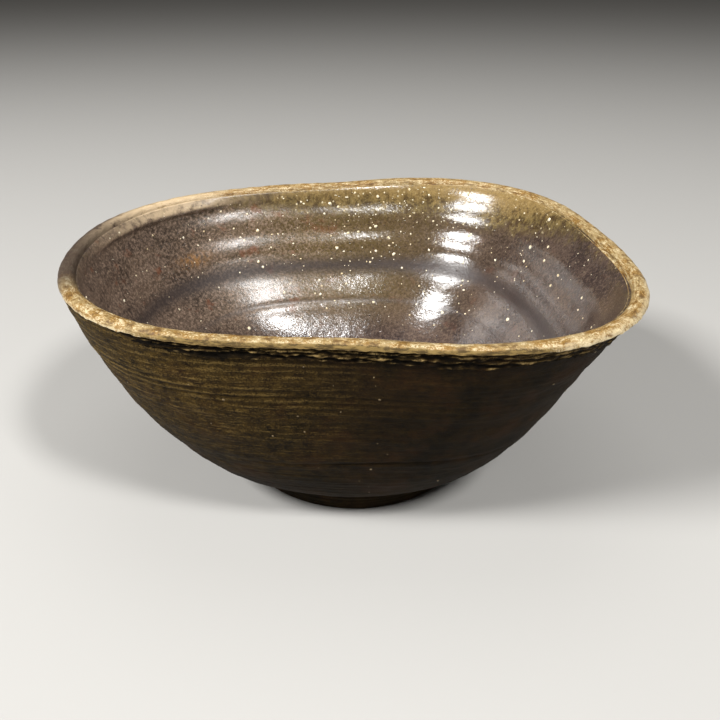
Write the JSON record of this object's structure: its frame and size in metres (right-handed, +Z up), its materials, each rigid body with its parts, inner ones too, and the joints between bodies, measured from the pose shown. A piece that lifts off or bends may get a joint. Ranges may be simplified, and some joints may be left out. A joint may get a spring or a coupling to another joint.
{
  "type": "tea bowl",
  "caption": "Hand-thrown matcha bowl with an uneven squarish lip, folded rim, turned foot ring, dark glossy inside, golden ash glaze on the lip and feldspar grains.",
  "frame": {"origin": "on the table, under the middle of the bowl's outline", "axes": "+Z up out of the mouth, +X along the long side of the lip, -Y towards the front"},
  "size_m": [0.1482, 0.1292, 0.0666],
  "materials": {
    "body_clay": "matte dark brown fired clay with fine turning lines",
    "lip_clay": "matte brown fired clay",
    "foot_clay": "bare dark fired clay",
    "dark_gloss": "glossy purple-brown natural glaze",
    "golden_ash": "satin golden ash glaze, worn on the crest",
    "cream_stone": "melted cream feldspar"
  },
  "bodies": {
    "root": {"bowl_body": "body_clay", "rim_lip": "lip_clay", "foot_ring": "foot_clay", "inner_glaze": "dark_gloss", "lip_ash_glaze": "golden_ash", "feldspar_grains_inside": "cream_stone", "feldspar_grains_outside": "cream_stone"}
  },
  "joints": []
}
